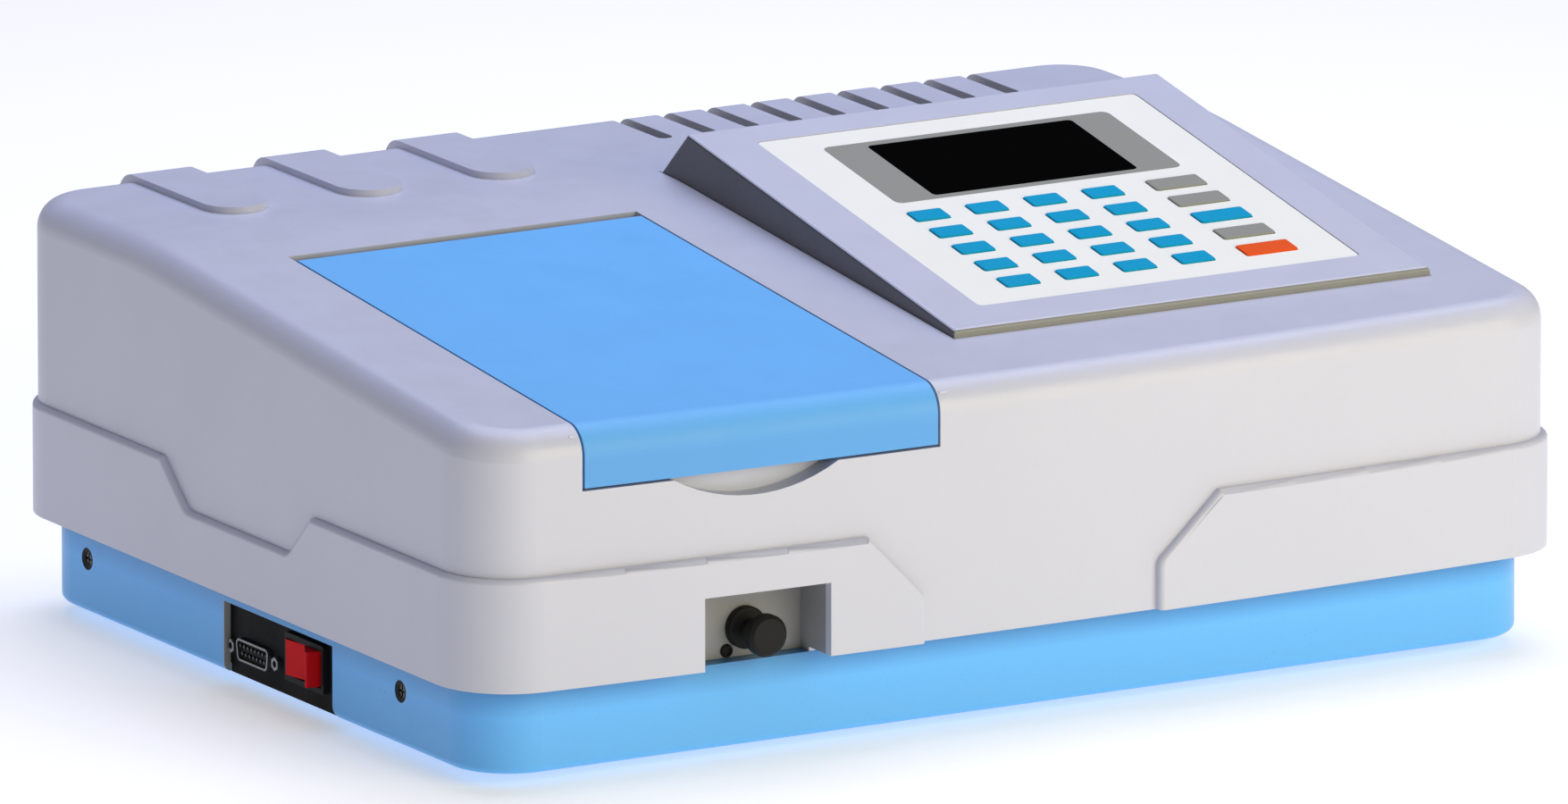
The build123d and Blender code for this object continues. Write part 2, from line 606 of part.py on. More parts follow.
def connector_outline(grow, x0, x1):
    """D shape of the connector's shell, made larger all round by grow."""
    top, low, half_z = 12.4 + grow, 11.0 + grow, 4.2 + grow
    outline = [(DSUB_Y - top, DSUB_Z + half_z), (DSUB_Y + top, DSUB_Z + half_z),
               (DSUB_Y + low, DSUB_Z - half_z), (DSUB_Y - low, DSUB_Z - half_z)]
    shape = side_profile(outline, x0, x1)
    return fillet(shape.edges().filter_by(Axis.X), 2.2 + grow)


def serial_connector():
    """Fifteen-way D connector held from behind the panel by its jack nuts."""
    front, back = PANEL_X - 1.8, PANEL_X + PANEL_T
    flange = block(back, back + 0.8, DSUB_Y - 19.5, DSUB_Y + 19.5, DSUB_Z - 6.2, DSUB_Z + 6.2)
    flange = fillet(flange.edges().filter_by(Axis.X), 2.0)
    solid = flange + connector_outline(0, front, back + 0.4)
    solid += block(back, back + 8, DSUB_Y - 9.8, DSUB_Y + 9.8, DSUB_Z - 4.3, DSUB_Z + 4.3)
    solid -= connector_outline(-0.8, front - 1, front + 3)
    for count, z in ((8, 1.4), (7, -1.4)):
        for n in range(count):
            y = DSUB_Y + (n - (count - 1) / 2) * DSUB_PIN_PITCH
            solid += rod("X", (front + 0.6, y, DSUB_Z + z), 3, 0.5)
    for side in (-1, 1):
        y = DSUB_Y + side * JACK_HALF
        solid += rod("X", (PANEL_X - 0.5, y, DSUB_Z), PANEL_T + 0.9, JACK_STEM_R)
        solid += Pos(PANEL_X - 1.6, y, DSUB_Z) * Rot(0, 90, 0) * extrude(RegularPolygon(2.7, 6), 1.6)
        solid -= rod("X", (PANEL_X - 2, y, DSUB_Z), 3, 1.3)
    return solid


def switch_bezel():
    """Frame and body of the mains rocker switch."""
    y0, y1 = ROCK_Y - 14.6, ROCK_Y + 14.6
    z0, z1 = ROCK_Z - 9.2, ROCK_Z + 9.2
    solid = block(PANEL_X - 2, PANEL_X, y0, y1, z0, z1)
    solid = fillet(solid.edges().filter_by(Axis.X), 1.0)
    solid += block(PANEL_X - 0.5, PANEL_X + 18, ROCK_Y - 13.3, ROCK_Y + 13.3, ROCK_Z - 8, ROCK_Z + 8)
    gap = 0.35
    solid -= block(PANEL_X - 5, PANEL_X + 15, ROCK_Y - ROCK_R - gap, ROCK_Y + ROCK_R + gap,
                   ROCK_Z - ROCK_H / 2 - gap, ROCK_Z + ROCK_H / 2 + gap)
    solid -= rod("Z", (PANEL_X + 3, ROCK_Y, ROCK_Z - 8), 16, PIVOT_R + 0.05)
    return solid


def switch_rocker():
    """Red rocker with a hollowed face; at rest its rear end is pressed in."""
    outline = [(-4.2, 0), (-8.2, 11.5), (3, 11.5), (6, 5), (6, -5), (3, -11.5), (-8.2, -11.5)]
    pad = extrude(make_face(Polyline(*outline, close=True)), ROCK_H / 2, both=True)
    pad = fillet(pad.edges().filter_by(Axis.Z).sort_by(Axis.X)[0:2], 0.8)
    pad += Cylinder(PIVOT_R, ROCK_H + 2.2)
    return Pos(PANEL_X + 3, ROCK_Y, ROCK_Z) * Rot(0, 0, -ROCK_TILT) * pad


def power_inlet():
    """Mains inlet in the tray's back wall."""
    plate = rounded_block(-15.5, 15.5, -12, 12, 0, 2, 2)
    body = block(-13.6, 13.6, -10, 10, -18, 0.5)
    cavity = block(-12.2, 12.2, -8.3, 8.3, -16.5, 3)
    cavity = chamfer(cavity.edges().filter_by(Axis.Z).group_by(Axis.Y)[-1], 4)
    solid = plate + body - cavity
    for x, height in ((-7, -1.6), (7, -1.6), (0, 2.4)):
        solid += block(x - 1, x + 1, height - 2.1, height + 2.1, -17, -6)
    return Pos(INLET_X, BASE_BACK_Y, INLET_Z) * Rot(-90, 0, 0) * solid


# ---------------------------------------------------------------- optics and drive
def optical_bench():
    """Stiff plate on six posts, with the bearings of the table, screw and mirror."""
    x0, x1, y0, y1 = BENCH
    solid = rounded_block(x0, x1, y0, y1, BENCH_Z0, BENCH_Z1, 6)
    for x in (x0 + 14, (x0 + x1) / 2, x1 - 14):
        for y in (y0 + 14, y1 - 14):
            solid += rod("Z", (x, y, FOOT_H + 3), BENCH_Z0 - FOOT_H - 3, 6)
    solid += rod("Z", (TABLE_X, TABLE_Y, BENCH_Z1), 8, 9)
    solid -= rod("Z", (TABLE_X, TABLE_Y, BENCH_Z0 + 2), 20, 4 + SHAFT_GAP)
    solid += rod("Z", (MIRROR_X, MIRROR_Y, BENCH_Z1), 8, 6)
    solid -= rod("Z", (MIRROR_X, MIRROR_Y, BENCH_Z0 + 2), 20, 2.5 + SHAFT_GAP)
    bearing = block(SCREW_X - 9, SCREW_X + 9, -10, -4, BENCH_Z1, SCREW_AXIS_Z + 8)
    solid += bearing - rod("Y", (SCREW_X, -12, SCREW_AXIS_Z), 12, SCREW_R + SHAFT_GAP)
    return solid


def monochromator_box():
    """Cover over the grating drive, open at the bottom, with two beam holes."""
    x0, x1, y0, y1, top = MONO
    wall = MONO_WALL
    solid = rounded_block(x0, x1, y0, y1, BENCH_Z1, top, 5)
    solid -= block(x0 + wall, x1 - wall, y0 + wall, y1 - wall, 0, top - wall)
    solid -= rod("X", (x0 - 1, BEAM_Y, BEAM_Z), 6, 5)
    solid -= rod("Y", (MIRROR_X, y1 - 5, BEAM_Z), 8, 6)
    return solid


def grating_table():
    """Turntable with the grating block above and the drive arm below."""
    z = SCREW_AXIS_Z
    solid = rod("Z", (TABLE_X, TABLE_Y, BENCH_Z0 + 4), 36, 4)
    solid += rod("Z", (TABLE_X, TABLE_Y, 54), 5, 22)
    solid += block(TABLE_X, TABLE_X + ARM - 9, TABLE_Y - 4, TABLE_Y + 4, z - 3, z + 3)
    solid += block(TABLE_X, TABLE_X + ARM, TABLE_Y - 2, TABLE_Y + 2, z - 3, z + 3)
    solid += rod("Z", (TABLE_X + ARM, TABLE_Y, z - 3), 6, 2.5)
    solid += block(TABLE_X - 5, TABLE_X + 5, TABLE_Y - 15, TABLE_Y + 15, 58.5, 88)
    return solid


def lead_screw():
    return rod("Y", (SCREW_X, -89.5, SCREW_AXIS_Z), 86, SCREW_R)


def drive_nut():
    """Nut on the lead screw whose two fingers hold the end of the drive arm."""
    z = SCREW_AXIS_Z
    solid = block(SCREW_X - 8, SCREW_X + 8, NUT_Y - 7, NUT_Y + 7, z - 7, z + 7)
    solid -= rod("Y", (SCREW_X, NUT_Y - 8, z), 16, SCREW_R + SHAFT_GAP)
    tip = TABLE_X + ARM
    for side in (-1, 1):
        inner, outer = sorted((NUT_Y + side * 2.9, NUT_Y + side * 5.4))
        solid += block(tip - 3.5, SCREW_X - 7.5, inner, outer, z - 3, z + 3)
    gap = block(tip - 6, SCREW_X - 4.2, NUT_Y - 2.9, NUT_Y + 2.9, z - 9, z + 9)
    return solid - gap


def stepper_motor():
    """Square motor that turns the lead screw, on its bracket."""
    z = SCREW_AXIS_Z
    motor = rounded_block(-14, 14, -14, 14, 0, 26, 3)
    solid = Pos(SCREW_X, -90, z) * Rot(90, 0, 0) * motor
    solid += block(SCREW_X - 16, SCREW_X + 16, -119, -92, BENCH_Z1, z - 13.5)
    return solid - rod("Y", (SCREW_X, -100, z), 12, SCREW_R + 0.4)


def lamp_house():
    """Vented cover over the two lamps and the source mirror."""
    x0, x1, y0, y1, top = LAMP
    wall = LAMP_WALL
    solid = rounded_block(x0, x1, y0, y1, BENCH_Z1, top, 4)
    solid -= block(x0 + wall, x1 - wall, y0 + wall, y1 - wall, 0, top - wall)
    for n in range(7):
        x = x0 + 17 + n * 12
        solid -= block(x - 2.5, x + 2.5, y0 + 12, y1 - 12, top - 5, top + 5)
    return solid - rod("Y", (MIRROR_X, y0 - 1, BEAM_Z), 5, 6)


def lamps():
    """Halogen lamp and deuterium lamp, each on a holder."""
    halogen = block(124, 144, 76, 96, BENCH_Z1, 52) + rod("Z", (134, 86, 52), 30, 6)
    bulb = fillet(halogen.edges().sort_by(Axis.Z)[-1], 3)
    deuterium = block(86, 114, 108, 136, BENCH_Z1, 44) + rod("Z", (100, 122, 44), 50, 13)
    tube = fillet(deuterium.edges().sort_by(Axis.Z)[-1], 6)
    return Compound(children=[bulb, tube])


def source_mirror():
    """Mirror that turns to choose the lamp."""
    solid = rod("Z", (MIRROR_X, MIRROR_Y, BENCH_Z0 + 4), 28, 2.5)
    solid += block(MIRROR_X - 10, MIRROR_X + 10, MIRROR_Y - 2, MIRROR_Y + 2, 54, 84)
    return solid + rod("Z", (MIRROR_X, MIRROR_Y, 50), 4.5, 6)


def detector_module():
    """Photodetector block on the chamber's far wall."""
    solid = block(-222, CH_X0, BEAM_Y - 20, BEAM_Y + 20, BEAM_Z - 20, BEAM_Z + 20)
    solid = fillet(solid.edges().filter_by(Axis.X), 2)
    return solid - rod("X", (CH_X0 - 14, BEAM_Y, BEAM_Z), 15, 6)


def power_supply():
    """Bent sheet cover of the supply, slotted on top and open below."""
    x0, x1, y0, y1 = SUPPLY
    wall = SUPPLY_WALL
    solid = block(x0, x1, y0, y1, FOOT_H + 3, SUPPLY_TOP)
    solid = fillet(solid.edges().group_by(Axis.Z)[-1], 1.5)
    solid -= block(x0 + wall, x1 - wall, y0 + wall, y1 - wall, 0, SUPPLY_TOP - wall)
    for n in range(8):
        x = x0 + 16 + n * 12
        solid -= block(x - 2, x + 2, y0 + 12, y1 - 12, SUPPLY_TOP - 5, SUPPLY_TOP + 2)
    return solid


def main_board():
    """Circuit board under the chamber, on four spacers, with its larger parts."""
    x0, x1, y0, y1 = BOARD
    top = BOARD_Z + BOARD_T
    solid = block(x0, x1, y0, y1, BOARD_Z, top)
    for x in (x0 + 30, x1 - 30):
        for y in (y0 + 6, y1 - 6):
            solid += rod("Z", (x, y, FOOT_H + 3), BOARD_Z - FOOT_H - 3, 3)
    chips = ((-150, -80, 24, 24, 4), (-110, -70, 34, 16, 5), (-70, -60, 12, 30, 9),
             (-140, -25, 40, 12, 6), (-90, -20, 16, 16, 12))
    for x, y, w, d, h in chips:
        solid += block(x - w / 2, x + w / 2, y - d / 2, y + d / 2, top - 0.5, top + h)
    return solid


def fan_frame():
    """Square frame with a round duct and a spider that carries the bearing."""
    half = FAN_SIZE / 2
    duct_r = FAN_TIP_R + 1
    solid = rounded_block(-half, half, -half, half, 0, FAN_DEPTH, 4) - Cylinder(duct_r, 40)
    solid += Pos(0, 0, 1) * Cylinder(FAN_HUB_R - 1, 2)
    for n in range(4):
        spoke = block(8, duct_r + 1, -1.5, 1.5, 0, 2)
        solid += Rot(0, 0, 45 + 90 * n) * spoke
    solid += Pos(0, 0, 3.5) * Cylinder(4, 3.5)
    solid -= Cylinder(FAN_SHAFT_R + SHAFT_GAP, 40)
    return Pos(FAN_X, FAN_Y1, FAN_Z) * Rot(90, 0, 0) * solid


def fan_rotor():
    """Hub with slanted blades and its shaft."""
    rotor = Pos(0, 0, 10.2) * Cylinder(FAN_HUB_R, 7.6)
    rotor += Pos(0, 0, 7.0) * Cylinder(FAN_SHAFT_R, 13.8)
    for n in range(FAN_BLADES):
        place = Rot(0, 0, 360 / FAN_BLADES * n) * Pos(19, 0, 10.2) * Rot(38, 0, 0)
        rotor += place * Box(15.6, 8.4, 1.2)
    rotor &= Pos(0, 0, FAN_DEPTH / 2) * Cylinder(FAN_TIP_R, FAN_DEPTH)
    return Pos(FAN_X, FAN_Y1, FAN_Z) * Rot(90, 0, 0) * rotor


# ---------------------------------------------------------------- write all parts
def write_all():
    os.makedirs("parts", exist_ok=True)
    for make in (upper_shell, base_tray, rubber_feet, case_screws, sample_lid, lid_hinge_channel,
                 lid_hinge_pins, sample_chamber, cell_carriage, pull_rod, pull_knob, rod_collar,
                 console_housing, keypad_overlay, display_window, keypad_board, side_panel,
                 serial_connector, switch_bezel, switch_rocker, power_inlet, optical_bench,
                 monochromator_box, grating_table, lead_screw, drive_nut, stepper_motor, lamp_house,
                 lamps, source_mirror, detector_module, power_supply, main_board, fan_frame,
                 fan_rotor):
        save(make.__name__, make())
    for name, x, y, w, h in key_places():
        save(name, key_cap(x, y, w, h))


write_all()
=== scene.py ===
"""Bench spectrophotometer: finishes, small fitted pieces, studio and camera."""
import json
import math

import bmesh
import bpy
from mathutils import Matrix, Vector


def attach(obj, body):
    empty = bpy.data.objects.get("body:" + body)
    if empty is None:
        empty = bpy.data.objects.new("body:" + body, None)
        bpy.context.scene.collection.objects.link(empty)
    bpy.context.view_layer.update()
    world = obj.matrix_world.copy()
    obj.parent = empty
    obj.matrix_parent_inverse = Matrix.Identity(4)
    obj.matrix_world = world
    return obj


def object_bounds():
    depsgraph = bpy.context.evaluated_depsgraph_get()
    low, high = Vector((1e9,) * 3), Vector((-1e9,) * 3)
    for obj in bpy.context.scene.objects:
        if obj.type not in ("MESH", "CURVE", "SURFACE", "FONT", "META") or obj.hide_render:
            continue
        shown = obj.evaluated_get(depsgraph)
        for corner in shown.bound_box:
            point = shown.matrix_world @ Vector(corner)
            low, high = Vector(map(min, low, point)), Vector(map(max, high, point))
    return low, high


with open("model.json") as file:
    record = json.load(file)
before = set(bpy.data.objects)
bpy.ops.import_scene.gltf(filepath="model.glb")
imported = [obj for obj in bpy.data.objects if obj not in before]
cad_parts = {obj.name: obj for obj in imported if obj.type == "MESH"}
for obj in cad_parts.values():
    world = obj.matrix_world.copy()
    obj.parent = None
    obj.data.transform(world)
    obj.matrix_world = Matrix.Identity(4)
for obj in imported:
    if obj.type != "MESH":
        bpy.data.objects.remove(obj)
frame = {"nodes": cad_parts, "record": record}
CAD_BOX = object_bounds()

MM = 0.001
NODES = frame["nodes"]

# ------------------------------------------------------------------ places on the object, in mm
CONSOLE_LEFT = -6.5
CONSOLE_FRONT_Y, CONSOLE_FRONT_Z = -130.3, 141.4
CONSOLE_BACK_Y, CONSOLE_BACK_Z = 67.2, 176.5
CONSOLE_TILT = math.atan((CONSOLE_BACK_Z - CONSOLE_FRONT_Z) / (CONSOLE_BACK_Y - CONSOLE_FRONT_Y))
SHEET_FACE = -0.3             # the white sheet's face, below the console's own face
SURROUND_EDGES = (42.5, 166.0, 116.2, 173.6)      # left, right, low, high on the console's face
SURROUND_CORNER, SURROUND_THICK, SURROUND_SINK = 3.2, 0.08, 0.02
TRAY_SIDE_X = 225.8
TRAY_BACK_Y = 172.6
SCREW_YS, SCREW_Z = (-102.9, 134.6), 25.8
CUP_OUTER_R, CUP_INNER_R, CUP_DEPTH, CUP_RIM = 4.22, 2.7, 0.7, 0.35
PANEL_X = -223.1
DSUB_Y, DSUB_Z = 10.4, 15.3
DSUB_ROWS = ((8, 1.4), (7, -1.4))                 # contacts and height above the middle
DSUB_PITCH = 2.76
INSULATOR_DEPTH, INSULATOR_TOP_W, INSULATOR_LOW_W, INSULATOR_H = 2.2, 22.9, 20.4, 6.5
INLET_X, INLET_Z = -165.0, 22.4
INLET_BLADES = ((-7, -1.6), (7, -1.6), (0, 2.4))  # X and Z from the inlet's middle
BLADE_SIZE = (2.3, 10.6, 4.5)
LOCK_SCREW = (-119.8, -158.2, 39.9)
PLATE_X, PLATE_Z = -40, 23
RIVET_REACH = 27
REAR_SCREW_XS, REAR_SCREW_Y, REAR_SCREW_Z = (-196, -66, 66, 196), 179.3, 122
SERVICE_X, SERVICE_Y, SERVICE_Z = 60, 20, 5.05
SERVICE_REACH_X, SERVICE_REACH_Y, SERVICE_SCREW_Z = 65, 50, 4.7


# ------------------------------------------------------------------ studio
CAMERA_AZIMUTH = math.radians(-30.09)
CAMERA_ELEVATION = math.radians(13.40)
CAMERA_DISTANCE = 12.0
CAMERA_AIM = (-3.5, 0.0, -1.1)                     # mm from the middle of the object's box
FRAME_WIDTH = 0.5836          # metres across the picture at the object
SENSOR = 36.0

AIR_COLOUR, AIR_STRENGTH = (1.0, 0.95, 0.87, 1), 0.15
# name, place and aim in metres, size in metres, power in watts, colour
LIGHTS = (
    ("overhead_panel", (0.22, 0.32, 1.6), (0, 0, 0.1), (1.6, 1.8), 25.6, (0.69, 0.765, 1.08)),
    ("front_panel", (0.55, -1.7, 0.55), (0, 0, 0.08), (1.6, 1.0), 19.0, (1.0, 0.93, 0.66)),
)
FLOOR_SIZE = 14.0
FLOOR_COLOUR = (0.93, 0.92, 0.90, 1)
FLOOR_GLOW, FLOOR_GLOW_STRENGTH = (1.0, 0.975, 0.93, 1), 0.39


def make_camera():
    """A long lens, so that upright edges stay upright and parallel edges stay parallel."""
    low, high = CAD_BOX
    middle = (low + high) / 2
    aim = middle + Vector(CAMERA_AIM) * MM
    across = math.cos(CAMERA_ELEVATION)
    back = Vector((math.sin(CAMERA_AZIMUTH) * across, -math.cos(CAMERA_AZIMUTH) * across,
                   math.sin(CAMERA_ELEVATION)))
    data = bpy.data.cameras.new("studio_camera")
    data.sensor_width = SENSOR
    data.lens = SENSOR * CAMERA_DISTANCE / FRAME_WIDTH
    data.clip_start, data.clip_end = 0.1, 60.0
    camera = bpy.data.objects.new("studio_camera", data)
    bpy.context.scene.collection.objects.link(camera)
    camera.location = aim + back * CAMERA_DISTANCE
    camera.rotation_euler = (-back).to_track_quat("-Z", "Y").to_euler()
    bpy.context.scene.camera = camera


def area_light(name, place, target, size, power, colour):
    """Rectangular light panel aimed at a point."""
    data = bpy.data.lights.new(name, "AREA")
    data.shape = "RECTANGLE"
    data.size, data.size_y = size
    data.energy = power
    data.color = colour
    light = bpy.data.objects.new(name, data)
    bpy.context.scene.collection.objects.link(light)
    light.location = place
    light.rotation_euler = (Vector(target) - Vector(place)).to_track_quat("-Z", "Y").to_euler()


def make_studio():
    """Soft air, two light panels and a plain pale floor."""
    world = bpy.data.worlds.new("studio_air")
    bpy.context.scene.world = world
    world.use_nodes = True
    air = world.node_tree.nodes["Background"]
    air.inputs["Color"].default_value = AIR_COLOUR
    air.inputs["Strength"].default_value = AIR_STRENGTH
    for light in LIGHTS:
        area_light(*light)
    bpy.context.scene.view_settings.view_transform = "Standard"
    bpy.ops.object.select_all(action="DESELECT")
    bpy.ops.mesh.primitive_plane_add(size=FLOOR_SIZE, location=(0, 0, 0))
    floor = bpy.context.object
    floor.name = "floor"
    paint, _, shader = new_material("floor_paint")
    shader.inputs["Base Color"].default_value = FLOOR_COLOUR
    shader.inputs["Roughness"].default_value = 0.7
    shader.inputs["Specular IOR Level"].default_value = 0.2
    shader.inputs["Emission Color"].default_value = FLOOR_GLOW
    shader.inputs["Emission Strength"].default_value = FLOOR_GLOW_STRENGTH
    floor.data.materials.append(paint)


# ------------------------------------------------------------------ finish building
def new_material(name):
    """Empty material, with its node tree and shader."""
    material = bpy.data.materials.new(name)
    material.use_nodes = True
    shader = material.node_tree.nodes["Principled BSDF"]
    return material, material.node_tree, shader


def own_place(tree):
    """The piece's own coordinates, in metres."""
    return tree.nodes.new("ShaderNodeTexCoord").outputs["Object"]


def noise(tree, scale, detail=3.0, roughness=0.55, stretch=(1, 1, 1)):
    """Noise on the piece's own coordinates; scale is per metre."""
    turned = tree.nodes.new("ShaderNodeMapping")
    turned.inputs["Scale"].default_value = stretch
    tree.links.new(own_place(tree), turned.inputs["Vector"])
    made = tree.nodes.new("ShaderNodeTexNoise")
    made.inputs["Scale"].default_value = scale
    made.inputs["Detail"].default_value = detail
    made.inputs["Roughness"].default_value = roughness
    tree.links.new(turned.outputs["Vector"], made.inputs["Vector"])
    return made.outputs["Fac"]


def spread(tree, source, low, high, from_low=0.3, from_high=0.7):
    """Stretch part of a pattern's range over another range."""
    made = tree.nodes.new("ShaderNodeMapRange")
    made.inputs["From Min"].default_value = from_low
    made.inputs["From Max"].default_value = from_high
    made.inputs["To Min"].default_value = low
    made.inputs["To Max"].default_value = high
    tree.links.new(source, made.inputs["Value"])
    return made.outputs["Result"]


def maths(tree, operation, *values):
    """One arithmetic step on numbers or outputs of other nodes."""
    made = tree.nodes.new("ShaderNodeMath")
    made.operation = operation
    for socket, value in zip(made.inputs, values):
        if isinstance(value, (int, float)):
            socket.default_value = value
        else:
            tree.links.new(value, socket)
    return made.outputs["Value"]


def blend_colour(tree, amount, first, second):
    """Mix two colours, each a triple or another node's output."""
    made = tree.nodes.new("ShaderNodeMix")
    made.data_type = "RGBA"
    for socket, value in ((made.inputs[0], amount), (made.inputs[6], first), (made.inputs[7], second)):
        if isinstance(value, tuple):
            socket.default_value = (*value, 1)
        elif isinstance(value, (int, float)):
            socket.default_value = value
        else:
            tree.links.new(value, socket)
    return made.outputs[2]


def inside_zone(tree, zone):
    """1 inside a box that is given in mm, else 0."""
    axes = tree.nodes.new("ShaderNodeSeparateXYZ")
    tree.links.new(own_place(tree), axes.inputs[0])
    product = 1.0
    for axis in range(3):
        low, high = zone[2 * axis], zone[2 * axis + 1]
        near = maths(tree, "COMPARE", axes.outputs[axis], (low + high) / 2 * MM, (high - low) / 2 * MM)
        product = maths(tree, "MULTIPLY", near, product)
    return product


def height_fade(tree, low, high):
    """1 below one height, falling to 0 at another, in mm."""
    axes = tree.nodes.new("ShaderNodeSeparateXYZ")
    tree.links.new(own_place(tree), axes.inputs[0])
    return spread(tree, axes.outputs[2], 1, 0, low * MM, high * MM)


def bump_from(tree, shader, layers):
    """Stack bump layers given as (pattern, depth in mm, strength)."""
    last = None
    for pattern, depth, strength in layers:
        bump = tree.nodes.new("ShaderNodeBump")
        bump.inputs["Strength"].default_value = strength
        bump.inputs["Distance"].default_value = depth * MM
        tree.links.new(pattern, bump.inputs["Height"])
        if last is not None:
            tree.links.new(last, bump.inputs["Normal"])
        last = bump.outputs["Normal"]
    tree.links.new(last, shader.inputs["Normal"])


def moulded(name, colour, gloss=0.38, grain=2300.0, depth=0.02, shade=0.035, specular=0.5,
            zones=(), height_shade=None):
    """Moulded plastic: spark-eroded grain, faint flow marks, fine specks and uneven gloss.
    zones are (box, colour) pairs that give the faces inside a box another flat colour, mostly painted
    shade, and height_shade is (low, high, colour) for a tone that comes in towards the bottom, used for
    painted shade by height."""
    material, tree, shader = new_material(name)
    dark = tuple(c * (1 - shade) for c in colour)
    drift = spread(tree, noise(tree, 7.0, 4.0), 0, 1)
    base = blend_colour(tree, drift, dark, colour)
    # painted shade by height: one tone fades into the other between two heights
    if height_shade:
        base = blend_colour(tree, height_fade(tree, height_shade[0], height_shade[1]), base, height_shade[2])
    # painted shade and other flat tones, box by box
    for box, tint in zones:
        base = blend_colour(tree, inside_zone(tree, box), base, tint)
    specks = spread(tree, noise(tree, 900.0, 1.0), 0.0, 0.10, 0.60, 0.78)
    base = blend_colour(tree, specks, base, tuple(c * 0.72 for c in colour))
    tree.links.new(base, shader.inputs["Base Color"])
    smears = spread(tree, noise(tree, 42.0, 6.0, 0.62, (1.0, 1.0, 0.45)), gloss * 0.84, gloss * 1.16)
    fine = spread(tree, noise(tree, 620.0, 2.0), -0.03, 0.03)
    tree.links.new(maths(tree, "ADD", smears, fine), shader.inputs["Roughness"])
    cells = tree.nodes.new("ShaderNodeTexVoronoi")
    cells.feature = "SMOOTH_F1"
    cells.inputs["Scale"].default_value = grain
    tree.links.new(own_place(tree), cells.inputs["Vector"])
    bump_from(tree, shader, ((noise(tree, 26.0, 2.0), 0.10, 0.10),
                             (noise(tree, grain * 0.6, 3.0), depth, 0.45),
                             (cells.outputs["Distance"], depth, 0.30)))
    shader.inputs["Specular IOR Level"].default_value = specular
    return material


def printed_sheet(name, colour, gloss=0.5):
    """Printed polyester sheet: fine even tooth, a little curl in the gloss, handling marks."""
    material, tree, shader = new_material(name)
    drift = spread(tree, noise(tree, 14.0, 3.0), 0, 1)
    base = blend_colour(tree, drift, tuple(c * 0.975 for c in colour), colour)
    tree.links.new(base, shader.inputs["Base Color"])
    marks = spread(tree, noise(tree, 70.0, 6.0, 0.65), gloss * 0.82, gloss * 1.12)
    tree.links.new(marks, shader.inputs["Roughness"])
    bump_from(tree, shader, ((noise(tree, 4200.0, 2.0), 0.012, 0.5),
                             (noise(tree, 30.0, 2.0), 0.05, 0.08)))
    shader.inputs["Specular IOR Level"].default_value = 0.3
    return material


def polished_window(name, colour):
    """Polished acrylic: deep black with hairline scratches in its gloss only."""
    material, tree, shader = new_material(name)
    drift = spread(tree, noise(tree, 30.0, 2.0), 0, 1)
    tree.links.new(blend_colour(tree, drift, tuple(c * 0.7 for c in colour), colour),
                   shader.inputs["Base Color"])
    hairs = noise(tree, 500.0, 3.0, 0.6, (1.0, 0.06, 0.06))
    tree.links.new(spread(tree, hairs, 0.10, 0.20, 0.45, 0.75), shader.inputs["Roughness"])
    bump_from(tree, shader, ((hairs, 0.002, 0.25),))
    shader.inputs["Specular IOR Level"].default_value = 0.004
    return material


def metal(name, colour, gloss, metallic, brushed=(1, 1, 1), specular=0.5):
    """Metal: brushed or milled lines, cloudy oxide and brighter rubbed streaks."""
    material, tree, shader = new_material(name)
    cloud = spread(tree, noise(tree, 60.0, 4.0), 0, 1)
    base = blend_colour(tree, cloud, tuple(c * 0.86 for c in colour), colour)
    bright = spread(tree, noise(tree, 240.0, 5.0, 0.6, brushed), 0.0, 0.4, 0.55, 0.75)
    base = blend_colour(tree, bright, base, tuple(min(1.0, c * 1.3 + 0.01) for c in colour))
    tree.links.new(base, shader.inputs["Base Color"])
    lines = noise(tree, 1500.0, 3.0, 0.6, brushed)
    tree.links.new(spread(tree, lines, gloss * 0.75, gloss * 1.3), shader.inputs["Roughness"])
    bump_from(tree, shader, ((lines, 0.006, 0.3),))
    shader.inputs["Metallic"].default_value = metallic
    shader.inputs["Specular IOR Level"].default_value = specular
    return material


def clear_glass(name, colour):
    """Quartz envelope with a faint haze."""
    material, tree, shader = new_material(name)
    haze = spread(tree, noise(tree, 90.0, 4.0), 0, 1)
    tree.links.new(blend_colour(tree, haze, tuple(c * 0.93 for c in colour), colour),
                   shader.inputs["Base Color"])
    tree.links.new(spread(tree, noise(tree, 200.0, 3.0), 0.03, 0.12), shader.inputs["Roughness"])
    shader.inputs["Transmission Weight"].default_value = 0.85
    shader.inputs["IOR"].default_value = 1.46
    return material


# ------------------------------------------------------------------ finishes by material slot
COVER = (0.62, 0.63, 0.73)
# painted shadow: the tray's blue is darkened at the top, under the cover's edge
TRAY_PAINTED_SHADOW = (0.078, 0.27, 0.56)                    # shaded strip under the cover's edge
LID = (0.17, 0.53, 0.98)
# a lower and an upper height in mm, and the tone that holds below them; they paint shade by height: on
# the tray a painted shadow above fades into the tray's own blue below, and on the lid the tone below is
# painted shade on the front flap
TRAY_SHADOW_FADE = (26, 37, (0.145, 0.50, 1.0))
# painted shade: darker blue on the lid's front flap, below 122 mm
LID_FRONT_PAINTED_SHADE = (122, 136, (0.125, 0.395, 0.85))
# boxes in mm (x, x, y, y, z, z) and the colour of the faces inside them
CONSOLE_CHEEK = ((-6.9, -6.2, -131, 88, 100, 180), (0.105, 0.103, 0.108))
# painted shade: mid-grey on the console's shadowed front lip
CONSOLE_LIP_PAINTED_SHADE = ((-7, 199, -130.6, -129.6, 120, 141.3), (0.28, 0.275, 0.25))
# painted shade: grey inside the rod pocket
POCKET_PAINTED_SHADE = ((-141.1, -88.1, -176.9, -154.9, 36, 66.8), (0.30, 0.30, 0.30))
# painted light and shade: flat grey on the cut edge of the tray's connector notch
CUT_EDGE_PAINTED_LIGHT = ((-226.5, -222.9, 29.5, 30.1, 4, 33), (0.36, 0.35, 0.32))

